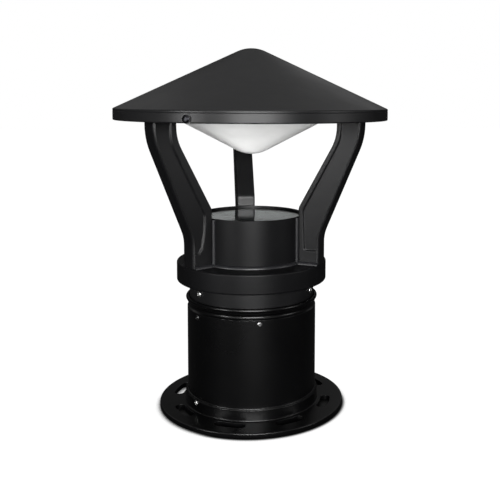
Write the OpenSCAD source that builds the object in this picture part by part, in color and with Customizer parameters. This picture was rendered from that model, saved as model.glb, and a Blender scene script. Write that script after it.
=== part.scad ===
// Post cap light: a conical roof on three cast arms over an upward lamp cup,
// standing on a sleeve in a short post tube with a round base flange.
// Millimetres, +Z up. The origin is the centre of the flange's bottom face.
// The rear arm stands towards +Y.

/* [Base] */
// Outside diameter of the base flange
flange_d = 172; // [160:1:200]
// Thickness of the base flange
flange_t = 4.5; // [3:0.5:8]
// Diameter of the cable opening in the flange
flange_bore_d = 104; // [60:1:108]
// Diameter of the circle that the anchor slots lie on
slot_circle_d = 140; // [138:1:146]
// Width of one anchor slot
slot_w = 9; // [6:0.5:10]
// Angle that one anchor slot spans, end centre to end centre
slot_span = 16; // [6:1:24]
// Number of anchor slots
slot_count = 8; // [4:1:8]

/* [Post tube] */
// Outside diameter of the post tube
tube_d = 120; // [118:0.5:122]
// Wall of the post tube
tube_wall = 1.8; // [1.5:0.1:2]
// Length of the post tube above the flange
tube_len = 100; // [90:1:300]

/* [Collar and sleeve] */
// Outside diameter of the collar
collar_d = 139; // [136:1:150]
// Height of the collar
collar_h = 18; // [16:0.5:24]
// Height of the collar's underside above the top of the tube
collar_gap = 14.3; // [12:0.1:20]
// Outside diameter of the sleeve's upper part
sleeve_d = 115.8; // [115:0.1:115.8]

/* [Lamp cup] */
// Outside diameter of the lamp cup
cup_d = 97; // [95:1:97]
// Height of the lamp cup above the collar
cup_h = 42.7; // [40:0.1:50]
// Thickness of the glass
glass_t = 4; // [3:0.5:5]

/* [Arms] */
// Width of an arm across its sides
arm_w = 17.6; // [14:0.1:20]
// Radius of the arm's outer edge under the roof
arm_top_out = 106.9; // [104:0.5:110]
// Radius of the arm's inner edge under the roof
arm_top_in = 84.8; // [84:0.1:88]
// Radius of the arm's outer edge at its foot
arm_foot_out = 69.3; // [67:0.1:69.4]
// Radius of the arm's inner edge at its foot
arm_foot_in = 49.5; // [49:0.1:52]
// Height of an arm above the collar
arm_h = 135.2; // [125:0.1:150]
// Depth of the recess in each side of an arm
arm_recess = 2; // [1:0.25:3]

/* [Roof] */
// Diameter of the roof over its rim
roof_d = 250; // [248:1:256]
// Height of the roof's rim
rim_h = 10.2; // [9:0.1:12]
// Rise of the roof cone for each millimetre of radius
roof_slope = 0.465; // [0.45:0.005:0.55]
// Thickness of the roof sheet
roof_t = 1.8; // [1.5:0.1:2.2]
// Rise of the reflector cone for each millimetre of radius
cone_slope = 0.523; // [0.5:0.001:0.54]

/* [Hidden] */

$fn = 96;
eps = 0.01;
fit = 0.05;

black_coat = "#2b2b2d";
black_tube = "#1a1a1b";
steel = "#c9cacc";
white_coat = "#ececea";

// Angles about +Z, counted from +X
arm_angles = [90, 210, 330];
slotted_angles = [0, 120, 240];
between_angles = [30, 150, 270];

// Post tube
tube_r = tube_d / 2;
tube_in = tube_r - tube_wall;
tube_top = flange_t + tube_len;
lip_r = 1.9;
lip_out = tube_r + 1.3;
crimp_depth = 1.6;
crimp_top = tube_top - 3.5;
crimp_h = 7.4;
crimp_in = tube_in - crimp_depth;

// Base
hub_r = tube_r + 1.9;
hub_h = 10.5;
hub_top = flange_t + hub_h;
hub_edge = 0.7;
weld_r = 1.1;
flange_edge = 0.7;

// Sleeve
sleeve_r = sleeve_d / 2;
sleeve_wall = 2.8;
sleeve_low_r = crimp_in - 0.8;
sleeve_low_in = sleeve_low_r - sleeve_wall;
sleeve_bottom = tube_top - 34.5;
crimp_slope = 2.2 / crimp_depth;
sleeve_seat = 0.6;
sleeve_shoulder = crimp_top - (tube_in - sleeve_r + sleeve_seat) * crimp_slope + fit;
sleeve_floor_t = 3;
sleeve_floor_in = 46;

// Collar
collar_r = collar_d / 2;
collar_bottom = tube_top + collar_gap;
collar_top = collar_bottom + collar_h;
collar_edge = 1.4;
web_t = 10;
web_bottom = collar_top - web_t;
spigot_r = sleeve_r - sleeve_wall - fit;
spigot_in = spigot_r - 3.2;
spigot_bottom = collar_bottom - 12.3;

// Screws that hold the tube and the sleeve
side_screw_r = 2;
tube_screw_r = 1.5;
tube_screw_z = tube_top - 13.8;
tube_screw_angles = [30, 90, 210, 270];
sleeve_screw_z = collar_bottom - 7.3;
earth_z = flange_t + 7.9;
earth_angle = 210;

// Tray and gland under the sleeve
gasket_t = 1;
tray_z = sleeve_bottom + sleeve_floor_t + gasket_t;
tray_t = 3;
tray_r = sleeve_low_in - 0.6;
tray_top = tray_z + tray_t;
tray_screw_circle = 49.3;
gland_x = 18;
gland_bore = 5.5;
gland_thread_r = 10;
gland_hex_r = 13.5;
gland_len = 22;

// Driver and its leads
driver_size = [78, 42, 24];
driver_y = 8;
driver_gap = 0.5;
driver_top = web_bottom - driver_gap;
driver_bottom = driver_top - driver_size[2];
ear_x = 44;
ear_t = 3;
lead_r = 1.3;
lead_x = 2.2;
grommet_y = -34;
grommet_hole = 5;
block_size = [18, 34, 16];
block_x = -28;

// Lamp cup and what it holds
cup_r = cup_d / 2;
cup_wall = 3.5;
cup_floor_t = 3;
cup_top = collar_top + cup_h;
cup_in = cup_r - cup_wall;
rebate_r = cup_r - 1.6;
glass_r = rebate_r - 0.6;
glass_drop = 1.8;
glass_z = cup_top - glass_drop - glass_t;
gasket_h = 1.2;
optic_flange_t = 0.8;
ledge_z = glass_z - gasket_h - optic_flange_t;
floor_z = collar_top + cup_floor_t;
pad_t = 0.5;
board_t = 1.6;
board_r = 27;
board_z = floor_z + pad_t;
board_top = board_z + board_t;
holder_r = 22;
holder_in = 13;
holder_t = 3.4;
board_screw_circle = 17.5;
optic_neck_r = 14;
optic_z = board_top + holder_t + 0.1;
cup_screw_circle = 36;

// Arms
arm_top = collar_top + arm_h;
arm_bend_top = collar_top + 114.9;
arm_bend_low = collar_top + 26.3;
arm_in_bend_top = collar_top + 115;
arm_in_bend_low = collar_top + 51.6;
recess_bottom = collar_top + 13.3;
recess_top = arm_top - 6;
outer_rib = 2;
inner_rib = 4.5;
wide_rib_extra = 1.8;
wide_foot_extra = 3;
arm_screw_circle = 63.3;
arm_screw_r = 2.5;
bead_r = 2.7;
side_bead_r = 2;

// Roof and what carries it
roof_r = roof_d / 2;
rim_bottom = arm_top - 5.2;
rim_top = rim_bottom + rim_h;
roof_angle = atan(roof_slope);
roof_tip_r = 31;
roof_point = rim_top + roof_r * roof_slope;
roof_drop = roof_t / cos(roof_angle);
seam_depth = 0.7;
ring_t = 3;
ring_top = arm_top + ring_t;
ring_r = roof_r - roof_t - 0.4;
ring_in = arm_top_in - 0.3;
ring_band = 3;
ring_screw_circle = 97;
rim_screw_z = rim_bottom + 3.4;
rim_screw_r = 2;
cone_t = 1;
cone_angle = atan(cone_slope);
cone_tip_r = 31;
cone_flange_r = 91.2;
cone_screw_circle = 87.8;
cone_mouth = arm_top_in - 0.8;
cone_point = ring_top - cone_mouth * cone_slope;

// Points of an outline's corner, rounded with radius r, from the corner's neighbours
function unit(v) = v / norm(v);
function rounded(a, b, c, r, n = 8) =
    let (
        ua = unit(a - b),
        uc = unit(c - b),
        half = acos(ua * uc) / 2,
        reach = r / tan(half),
        mid = b + unit(ua + uc) * r / sin(half),
        start = b + ua * reach - mid,
        stop = b + uc * reach - mid,
        first = atan2(start[1], start[0]),
        turn = atan2(stop[1], stop[0]) - first,
        sweep = turn > 180 ? turn - 360 : turn < -180 ? turn + 360 : turn
    )
    [for (i = [0:n]) mid + r * [cos(first + sweep * i / n), sin(first + sweep * i / n)]];

// A tube about Z from z to z + h
module tube(r_out, r_in, z, h) {
    translate([0, 0, z]) difference() {
        cylinder(r = r_out, h = h);
        translate([0, 0, -eps]) cylinder(r = r_in, h = h + 2 * eps);
    }
}

// A radial pin at an angle, from one radius to another
module radial(angle, z, r, from, to, sides = 32) {
    rotate([0, 0, angle]) translate([from, 0, z]) rotate([0, 90, 0])
        cylinder(r = r, h = to - from, $fn = sides);
}

// An upright pin at a radius and an angle
module upright(angle, radius, z, r, h, sides = 32) {
    rotate([0, 0, angle]) translate([radius, 0, z]) cylinder(r = r, h = h, $fn = sides);
}

// A radial screw: its head's inner face is at the radius seat
module radial_screw(angle, z, seat, tip, shank_r, head_r, head_h, socket_r) {
    difference() {
        union() {
            radial(angle, z, shank_r, tip, seat + eps);
            radial(angle, z, head_r, seat, seat + head_h, 48);
        }
        radial(angle, z, socket_r, seat + head_h * 0.35, seat + head_h + eps, 6);
    }
}

// An upright screw whose head stands on z and whose shank points down
module down_screw(angle, radius, z, length, shank_r, head_r, head_h, socket_r) {
    difference() {
        union() {
            upright(angle, radius, z - length, shank_r, length + eps);
            upright(angle, radius, z, head_r, head_h, 48);
        }
        upright(angle, radius, z + head_h * 0.4, socket_r, head_h, 6);
    }
}

// The same, head down and shank up
module up_screw(angle, radius, z, length, shank_r, head_r, head_h, socket_r) {
    difference() {
        union() {
            upright(angle, radius, z - eps, shank_r, length);
            upright(angle, radius, z - head_h, head_r, head_h, 48);
        }
        upright(angle, radius, z - head_h - eps, socket_r, head_h * 0.6, 6);
    }
}

// One curved slot through the flange, centred on angle 0
module anchor_slot() {
    slot_r = slot_circle_d / 2;
    rotate([0, 0, -slot_span / 2]) rotate_extrude(angle = slot_span)
        translate([slot_r - slot_w / 2, -1]) square([slot_w, flange_t + 2]);
    for (end = [-1, 1]) rotate([0, 0, end * slot_span / 2]) translate([slot_r, 0, -1])
        cylinder(r = slot_w / 2, h = flange_t + 2, $fn = 48);
}

module base_flange() {
    color(black_tube) difference() {
        rotate_extrude() polygon([
            [flange_bore_d / 2, 0],
            [flange_d / 2 - flange_edge, 0],
            [flange_d / 2, flange_edge],
            [flange_d / 2, flange_t - flange_edge],
            [flange_d / 2 - flange_edge, flange_t],
            [flange_bore_d / 2, flange_t]
        ]);
        for (i = [0:slot_count - 1]) rotate([0, 0, (i + 0.5) * 360 / slot_count]) anchor_slot();
    }
}

// Ring on the flange that the tube stands in
module hub_ring() {
    color(black_tube) difference() {
        rotate_extrude() polygon([
            [tube_r + fit, flange_t],
            [hub_r + 1.5, flange_t],
            [hub_r, flange_t + 1.5],
            [hub_r, hub_top - hub_edge],
            [hub_r - hub_edge, hub_top],
            [tube_r + fit, hub_top]
        ]);
        radial(earth_angle, earth_z, tube_screw_r + fit, tube_r - 1, hub_r + 1);
    }
}

// The rolled lip and the crimp under it carry the sleeve
module post_tube() {
    color(black_tube) difference() {
        rotate_extrude() union() {
            polygon([
                [tube_in, flange_t],
                [tube_r, flange_t],
                [tube_r, crimp_top - crimp_h],
                [tube_r - crimp_depth, crimp_top - crimp_h + 2.2],
                [tube_r - crimp_depth, crimp_top - 2.2],
                [tube_r, crimp_top],
                [tube_r, tube_top - lip_r],
                [tube_in, tube_top - lip_r],
                [tube_in, crimp_top],
                [crimp_in, crimp_top - 2.2],
                [crimp_in, crimp_top - crimp_h + 2.2],
                [tube_in, crimp_top - crimp_h]
            ]);
            intersection() {
                translate([lip_out - lip_r, tube_top - lip_r]) circle(r = lip_r, $fn = 32);
                translate([tube_in, tube_top - 2 * lip_r]) square([2 * lip_r + 2, 2 * lip_r]);
            }
        }
        for (a = tube_screw_angles) radial(a, tube_screw_z, tube_screw_r + fit, tube_in - 1, tube_r + 1);
        radial(earth_angle, earth_z, tube_screw_r + fit, tube_in - 1, tube_r + 1);
    }
}

module weld_ring() {
    color(black_tube) rotate_extrude() intersection() {
        translate([tube_r + fit, hub_top]) circle(r = weld_r, $fn = 32);
        translate([tube_r + fit, hub_top]) square(hub_r);
    }
}

module tube_screws() {
    color(steel) for (a = tube_screw_angles)
        radial_screw(a, tube_screw_z, tube_r + 0.1, sleeve_low_r + 0.3, tube_screw_r, 2.4, 1.2, 1);
}

module earth_screw() {
    color(steel)
        radial_screw(earth_angle, earth_z, hub_r + 0.05, tube_in - 6, tube_screw_r, 2.3, 1.2, 1);
}

module earth_nut() {
    color("#c8a24a") difference() {
        radial(earth_angle, earth_z, 3.2, tube_in - 3, tube_in - 0.3, 6);
        radial(earth_angle, earth_z, tube_screw_r + fit, tube_in - 10, tube_in);
    }
}

// Stepped sleeve: the wide part shows under the collar, the narrow one stands in the tube
module sleeve() {
    color(black_coat) difference() {
        rotate_extrude() polygon([
            [sleeve_floor_in, sleeve_bottom],
            [sleeve_low_r - 1, sleeve_bottom],
            [sleeve_low_r, sleeve_bottom + 1],
            [sleeve_low_r, sleeve_shoulder],
            [sleeve_r - sleeve_seat, sleeve_shoulder],
            [sleeve_r, sleeve_shoulder + sleeve_seat * crimp_slope],
            [sleeve_r, collar_bottom],
            [sleeve_r - sleeve_wall, collar_bottom],
            [sleeve_r - sleeve_wall, sleeve_shoulder + 3],
            [sleeve_low_in, sleeve_shoulder + 1.5],
            [sleeve_low_in, sleeve_bottom + sleeve_floor_t],
            [sleeve_floor_in, sleeve_bottom + sleeve_floor_t]
        ]);
        for (a = arm_angles) radial(a, sleeve_screw_z, side_screw_r + fit, spigot_in, sleeve_r + 1);
        for (a = between_angles)
            upright(a, tray_screw_circle, sleeve_bottom - 1, side_screw_r + fit, sleeve_floor_t + 2);
    }
}

module sleeve_screws() {
    color(steel) for (a = arm_angles)
        radial_screw(a, sleeve_screw_z, sleeve_r + 0.05, spigot_in - 1, side_screw_r, 3, 1.6, 1.4);
}

module tray_gasket() {
    color("#303030") difference() {
        tube(tray_r, sleeve_floor_in + 0.4, tray_z - gasket_t, gasket_t);
        for (a = between_angles)
            upright(a, tray_screw_circle, tray_z - gasket_t - 1, side_screw_r + fit, gasket_t + 2);
    }
}

module gland_tray() {
    color("#b9bcbf") difference() {
        translate([0, 0, tray_z]) cylinder(r = tray_r, h = tray_t);
        translate([gland_x, 0, tray_z - 1]) cylinder(r = gland_thread_r + fit, h = tray_t + 2);
        for (a = between_angles)
            upright(a, tray_screw_circle, tray_z - 1, side_screw_r + fit, tray_t + 2);
    }
}

module tray_screws() {
    color(steel) for (a = between_angles)
        up_screw(a, tray_screw_circle, sleeve_bottom, tray_top - sleeve_bottom + 1, side_screw_r,
            2.9, 2, 1.4);
}

// The supply cable comes up through this gland
module cable_gland() {
    color("#3a3b3d") translate([gland_x, 0, 0]) difference() {
        union() {
            translate([0, 0, tray_z - 7]) cylinder(r = gland_hex_r, h = 7 - fit, $fn = 6);
            translate([0, 0, tray_z - gland_len + 4]) cylinder(r = gland_thread_r + 1.5, h = gland_len - 10);
            translate([0, 0, tray_z - gland_len])
                cylinder(r1 = gland_thread_r - 2, r2 = gland_thread_r + 1.5, h = 4 + eps);
            translate([0, 0, tray_z - 1]) cylinder(r = gland_thread_r, h = 11);
        }
        translate([0, 0, tray_z - gland_len - 1]) cylinder(r = gland_bore, h = gland_len + 12);
    }
}

module gland_nut() {
    color("#3a3b3d") translate([gland_x, 0, tray_top + fit]) difference() {
        cylinder(r = gland_hex_r, h = 4.5, $fn = 6);
        translate([0, 0, -1]) cylinder(r = gland_thread_r + fit, h = 7);
    }
}

// Three-way block: a row of clamps with a wire hole on each side
module terminal_block() {
    pitch = block_size[1] / 3;
    color("#f0efe9") translate([block_x, 0, tray_top]) difference() {
        translate([-block_size[0] / 2, -block_size[1] / 2, 0]) cube(block_size);
        for (way = [-1:1]) translate([0, way * pitch, 0]) {
            translate([0, 0, 8]) cylinder(r = 3, h = block_size[2], $fn = 32);
            translate([-block_size[0], 0, 5]) rotate([0, 90, 0])
                cylinder(r = 2.2, h = 2 * block_size[0], $fn = 32);
        }
        for (groove = [-0.5, 0.5]) translate([-block_size[0], groove * pitch - 0.6, 12])
            cube([2 * block_size[0], 1.2, 5]);
    }
}

// Three short leads from the driver down into the block's clamps
module supply_leads() {
    pitch = block_size[1] / 3;
    color("#7a4b2a") for (way = [-1:1]) translate([block_x, way * pitch, tray_top + 8])
        cylinder(r = lead_r, h = driver_bottom - tray_top - 8, $fn = 24);
}

module driver() {
    half_x = driver_size[0] / 2;
    half_y = driver_size[1] / 2;
    color("#d8d9da") difference() {
        union() {
            translate([-half_x, driver_y - half_y, driver_bottom]) cube(driver_size);
            for (side = [-1, 1]) translate([side * (half_x + 4) - 5, driver_y - 6, driver_top - ear_t])
                cube([10, 12, ear_t]);
        }
        for (side = [-1, 1]) translate([side * ear_x, driver_y, driver_top - ear_t - 1])
            cylinder(r = 1.6, h = ear_t + 2, $fn = 32);
        for (rib = [-4:4]) translate([rib * 8 - 1, driver_y - half_y - 1, driver_bottom - eps])
            cube([2, driver_size[1] + 2, 1.2]);
    }
}

module driver_screws() {
    color(steel) for (side = [-1, 1]) translate([side * ear_x, driver_y, driver_top - ear_t])
        up_screw(0, 0, 0, ear_t + driver_gap + 5, 1.5, 2.8, 1.8, 1.2);
}

// Quarter bend of a lead in the plane of Y and Z
module lead_bend(angle_from, angle, bend) {
    rotate([90, 0, 90]) rotate([0, 0, angle_from]) rotate_extrude(angle = angle)
        translate([bend, 0]) circle(r = lead_r, $fn = 24);
}

// Two leads: out of the driver, up through the grommet, over and down on the board
module led_leads() {
    bend = 4;
    low = driver_bottom + 9;
    start_y = driver_y - driver_size[1] / 2;
    over = 4.6;
    top = board_top + 1;
    color("#b03a2e") for (side = [-1, 1]) translate([side * lead_x, 0, 0]) {
        translate([0, grommet_y + bend, low]) rotate([-90, 0, 0])
            cylinder(r = lead_r, h = start_y - grommet_y - bend, $fn = 24);
        translate([0, grommet_y + bend, low + bend]) lead_bend(180, 90, bend);
        translate([0, grommet_y, low + bend]) cylinder(r = lead_r, h = top - low - bend, $fn = 24);
        translate([0, grommet_y + over, top]) lead_bend(0, 180, over);
        translate([0, grommet_y + 2 * over, board_top]) cylinder(r = lead_r, h = top - board_top, $fn = 24);
    }
}

module lead_grommet() {
    color("#222222") translate([0, grommet_y, 0]) difference() {
        union() {
            translate([0, 0, web_bottom - 1])
                cylinder(r = grommet_hole - fit, h = web_t + cup_floor_t + 1 + eps);
            translate([0, 0, floor_z]) cylinder(r = grommet_hole + 1, h = 1.4);
        }
        for (side = [-1, 1]) translate([side * lead_x, 0, web_bottom - 2])
            cylinder(r = lead_r + fit, h = web_t + 8, $fn = 24);
    }
}

// Collar: outer ring, thick web under the lamp cup and a spigot for the sleeve
module collar() {
    color(black_coat) difference() {
        rotate_extrude() polygon([
            [0, web_bottom],
            [spigot_in, web_bottom],
            [spigot_in, spigot_bottom],
            [spigot_r, spigot_bottom],
            [spigot_r, collar_bottom + fit],
            [collar_r - collar_edge, collar_bottom + fit],
            [collar_r, collar_bottom + collar_edge],
            [collar_r, collar_top - collar_edge],
            [collar_r - 0.4 * collar_edge, collar_top - 0.4 * collar_edge],
            [collar_r - collar_edge, collar_top],
            [0, collar_top]
        ]);
        for (a = arm_angles) {
            upright(a, arm_screw_circle, collar_bottom - 1, arm_screw_r + fit, collar_h + 2);
            upright(a, arm_screw_circle, collar_bottom - 1, 4.6, 10, 48);
            upright(a, cup_screw_circle, web_bottom - 1, side_screw_r + fit, web_t + 2);
            radial(a, sleeve_screw_z, side_screw_r + fit, spigot_in - 2, spigot_r + 1);
        }
        for (side = [-1, 1]) translate([side * ear_x, driver_y, web_bottom - 1])
            cylinder(r = 1.55, h = 7.5, $fn = 32);
        translate([0, grommet_y, web_bottom - 1]) cylinder(r = grommet_hole, h = web_t + 2, $fn = 48);
    }
}

module arm_screws() {
    head_z = collar_bottom + 9;
    color(steel) for (a = arm_angles)
        up_screw(a, arm_screw_circle, head_z, 22, arm_screw_r, 4.2, 4.8, 2);
}

// Side outline of an arm, [radius, height]
function arm_outline() = concat(
    [[arm_top_in, arm_top], [arm_top_out, arm_top]],
    rounded([arm_top_out, arm_top], [arm_top_out, arm_bend_top], [arm_foot_out, arm_bend_low], 60),
    rounded([arm_top_out, arm_bend_top], [arm_foot_out, arm_bend_low], [arm_foot_out, collar_top], 34),
    [[arm_foot_out, collar_top], [arm_foot_in, collar_top]],
    rounded([arm_foot_in, collar_top], [arm_foot_in, arm_in_bend_low], [arm_top_in, arm_in_bend_top], 8),
    rounded([arm_foot_in, arm_in_bend_low], [arm_top_in, arm_in_bend_top], [arm_top_in, arm_top], 40)
);

// Outline of the recess in an arm's side; wide is 1 on the side whose inner rib
// is broader, which is the anticlockwise one seen from above, and 0 on the other
function recess_outline(wide) = let (
    out_top = arm_top_out - outer_rib,
    out_foot = arm_foot_out - outer_rib,
    in_top = arm_top_in + inner_rib + wide * wide_rib_extra,
    in_foot = arm_foot_in + inner_rib + 0.5 + wide * wide_foot_extra,
    bend_top = arm_in_bend_top - 1 - wide * 2.5,
    bend_low = arm_in_bend_low - 2 - wide * 2,
    curl = 2.5 + wide * 4
) concat(
    [[in_top, recess_top], [out_top, recess_top]],
    rounded([out_top, recess_top], [out_top, arm_bend_top], [out_foot, arm_bend_low], 58),
    rounded([out_top, arm_bend_top], [out_foot, arm_bend_low], [out_foot, recess_bottom], 32),
    [[out_foot, recess_bottom], [in_foot + curl, recess_bottom]],
    [[in_foot + curl / 2, recess_bottom + curl * 0.7], [in_foot + 0.5, recess_bottom + 20]],
    rounded([in_foot + 0.5, recess_bottom + 20], [in_foot, bend_low], [in_top, bend_top], 8),
    rounded([in_foot, bend_low], [in_top, bend_top], [in_top, recess_top], 36)
);

// One cast arm, recessed on both sides, standing at an angle
module arm(angle) {
    color(black_coat) rotate([0, 0, angle]) difference() {
        rotate([90, 0, 0]) translate([0, 0, -arm_w / 2]) linear_extrude(height = arm_w)
            polygon(arm_outline());
        for (side = [-1, 1]) translate([0, side * (arm_w / 2 - arm_recess / 2 + 0.5), 0]) rotate([90, 0, 0])
            translate([0, 0, -arm_recess / 2 - 0.5]) linear_extrude(height = arm_recess + 1)
                polygon(recess_outline(side > 0 ? 1 : 0));
        translate([arm_screw_circle, 0, collar_top - 1]) cylinder(r = arm_screw_r + fit, h = 15, $fn = 32);
        translate([ring_screw_circle, 0, arm_top - 16]) cylinder(r = arm_screw_r + fit, h = 17, $fn = 32);
    }
}

module rear_arm() { arm(arm_angles[0]); }
module left_arm() { arm(arm_angles[1]); }
module right_arm() { arm(arm_angles[2]); }

// Smooth beads that close the joints: round the cup's foot, along the arms' feet
// and up the cup wall beside each arm
module seam_beads() {
    side_y = arm_w / 2;
    color(black_coat) difference() {
        union() {
            rotate_extrude() translate([cup_r, collar_top]) circle(r = bead_r, $fn = 32);
            for (a = arm_angles, side = [-1, 1]) rotate([0, 0, a]) {
                translate([cup_r - 3, side * side_y, collar_top]) rotate([0, 90, 0])
                    cylinder(r = bead_r, h = arm_foot_out - cup_r + 2, $fn = 32);
                translate([cup_r - 0.3, side * side_y, collar_top])
                    cylinder(r = side_bead_r, h = cup_h - 0.6, $fn = 32);
            }
        }
        translate([0, 0, collar_top - 10]) cylinder(r = cup_r + fit, h = 70);
        translate([0, 0, collar_top - 10]) cylinder(r = collar_r + 1, h = 10);
        for (a = arm_angles) rotate([0, 0, a]) translate([arm_foot_in - 2, -side_y - fit, collar_top - 10])
            cube([40, arm_w + 2 * fit, 70]);
    }
}

module lamp_cup() {
    color(black_coat) difference() {
        translate([0, 0, collar_top]) cylinder(r = cup_r, h = cup_h);
        translate([0, 0, floor_z]) cylinder(r = cup_in, h = cup_h);
        translate([0, 0, ledge_z]) cylinder(r = rebate_r, h = cup_h);
        for (a = arm_angles) {
            upright(a, cup_screw_circle, collar_top - 1, side_screw_r + fit, cup_floor_t + 2);
            upright(a + 60, board_screw_circle, collar_top - 1, 1.3, cup_floor_t + 2);
        }
        translate([0, grommet_y, collar_top - 1]) cylinder(r = grommet_hole, h = cup_floor_t + 2, $fn = 48);
    }
}

module cup_screws() {
    color(steel) for (a = arm_angles)
        up_screw(a, cup_screw_circle, web_bottom, web_t + cup_floor_t + 1.5, side_screw_r, 3.4, 3, 1.6);
}

module thermal_pad() {
    color("#9aa3ad") difference() {
        translate([0, 0, floor_z]) cylinder(r = board_r, h = pad_t);
        for (a = arm_angles) upright(a + 60, board_screw_circle, floor_z - 1, 1.5, pad_t + 2);
    }
}

module led_board() {
    color("#f2f2ee") difference() {
        translate([0, 0, board_z]) cylinder(r = board_r, h = board_t);
        for (a = arm_angles) upright(a + 60, board_screw_circle, board_z - 1, 1.5, board_t + 2);
    }
}

// One chip in the middle and a ring of six round it
module led_chips() {
    chip = 3;
    pitch_r = 7.2;
    color("#f4d64a") {
        translate([-chip / 2, -chip / 2, board_top]) cube([chip, chip, 0.8]);
        for (i = [0:5]) rotate([0, 0, i * 60]) translate([pitch_r - chip / 2, -chip / 2, board_top])
            cube([chip, chip, 0.8]);
    }
}

module led_holder() {
    color(white_coat) difference() {
        tube(holder_r, holder_in, board_top, holder_t);
        for (a = arm_angles) {
            upright(a + 60, board_screw_circle, board_top - 1, 1.5, holder_t + 2);
            upright(a + 60, board_screw_circle, board_top + 1.2, 2.8, holder_t, 48);
        }
    }
}

module board_screws() {
    color(steel) for (a = arm_angles)
        down_screw(a + 60, board_screw_circle, board_top + 1.2, board_top + 1.2 - collar_top - 0.3,
            1.25, 2.6, 1.8, 1.1);
}

// Radius of the reflector inside the cup at a share t of its height
function optic_r(t) = optic_neck_r + (cup_in - 0.9 - optic_neck_r) * sqrt(t);

module reflector_cup() {
    steps = 14;
    sheet = 0.8;
    height = ledge_z - optic_z;
    inner = [for (i = [0:steps]) let (t = pow(i / steps, 2)) [optic_r(t), optic_z + t * height]];
    outer = [for (i = [steps:-1:0]) let (t = pow(i / steps, 2))
        [min(optic_r(t) + sheet, cup_in - 0.1), optic_z + t * height]];
    color("#2e2e30") rotate_extrude() polygon(concat(
        inner,
        [[optic_r(1), ledge_z + optic_flange_t], [rebate_r - 0.2, ledge_z + optic_flange_t]],
        [[rebate_r - 0.2, ledge_z], [cup_in - 0.1, ledge_z]],
        outer
    ));
}

module lens_gasket() {
    color("#4a4a4a") tube(rebate_r - 0.2, cup_in - 1, ledge_z + optic_flange_t, gasket_h);
}

module lens() {
    color("#cfe3e0", 0.4) rotate_extrude() polygon([
        [0, glass_z],
        [glass_r - 0.5, glass_z],
        [glass_r, glass_z + 0.5],
        [glass_r, glass_z + glass_t - 0.5],
        [glass_r - 0.5, glass_z + glass_t],
        [0, glass_z + glass_t]
    ]);
}

// Height of the roof's underside at radius r
function roof_under(r) = roof_point - roof_drop - r * roof_slope;

// Ring on the arms: a flat plate and a band that the roof's rim goes over;
// the roof sits on the band's sloped top
module roof_ring() {
    band_in = ring_r - ring_band;
    band_bottom = rim_bottom + 0.8;
    color(black_coat) difference() {
        union() {
            tube(ring_r - 1, ring_in, arm_top, ring_t);
            rotate_extrude() polygon([
                [band_in, band_bottom],
                [ring_r, band_bottom],
                [ring_r, roof_under(ring_r) - fit],
                [band_in, roof_under(band_in) - fit]
            ]);
            for (a = slotted_angles) intersection() {
                radial(a, rim_screw_z, 4, ring_r - 8, ring_r, 48);
                translate([0, 0, band_bottom]) cylinder(r = ring_r, h = 40);
            }
        }
        for (a = slotted_angles) radial(a, rim_screw_z, rim_screw_r + fit, ring_r - 10, ring_r + 1);
        for (a = arm_angles) upright(a, ring_screw_circle, arm_top - 1, arm_screw_r + fit, ring_t + 2);
        for (a = between_angles) upright(a, cone_screw_circle, arm_top - 1, 1.55, ring_t + 2);
    }
}

module ring_screws() {
    color(steel) for (a = arm_angles)
        down_screw(a, ring_screw_circle, ring_top, 17, arm_screw_r, 4.25, 2.8, 2);
}

// White cone, point down, that spreads the light of the cup below
module reflector_cone() {
    steps = 8;
    tip_mid = cone_point + cone_tip_r / cos(cone_angle);
    skin = cone_t / cos(cone_angle);
    tip = [for (i = [0:steps]) let (a = cone_angle * i / steps)
        [cone_tip_r * sin(a), tip_mid - cone_tip_r * cos(a)]];
    tip_in = [for (i = [steps:-1:0]) let (a = cone_angle * i / steps)
        [(cone_tip_r - cone_t) * sin(a), tip_mid - (cone_tip_r - cone_t) * cos(a)]];
    color(white_coat) difference() {
        rotate_extrude() polygon(concat(
            tip,
            [[cone_mouth, ring_top], [cone_flange_r, ring_top], [cone_flange_r, ring_top + cone_t]],
            [[(ring_top + cone_t - cone_point - skin) / cone_slope, ring_top + cone_t]],
            tip_in
        ));
        for (a = between_angles) upright(a, cone_screw_circle, ring_top - 1, 1.6, cone_t + 2);
    }
}

module cone_screws() {
    color(steel) for (a = between_angles)
        down_screw(a, cone_screw_circle, ring_top + cone_t, 5.5, 1.5, 2.9, 1.8, 1.2);
}

module roof_washers() {
    seat = roof_r + 0.1;
    color("#0c0c0c") for (a = slotted_angles) difference() {
        radial(a, rim_screw_z, 3.7, seat, seat + 0.8, 48);
        radial(a, rim_screw_z, rim_screw_r + fit, seat - 1, seat + 2);
    }
}

module roof_screws() {
    color("#55565a") for (a = slotted_angles)
        radial_screw(a, rim_screw_z, roof_r + 0.95 + fit, ring_r - 9, rim_screw_r, 3.2, 1.6, 1.6);
}

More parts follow.
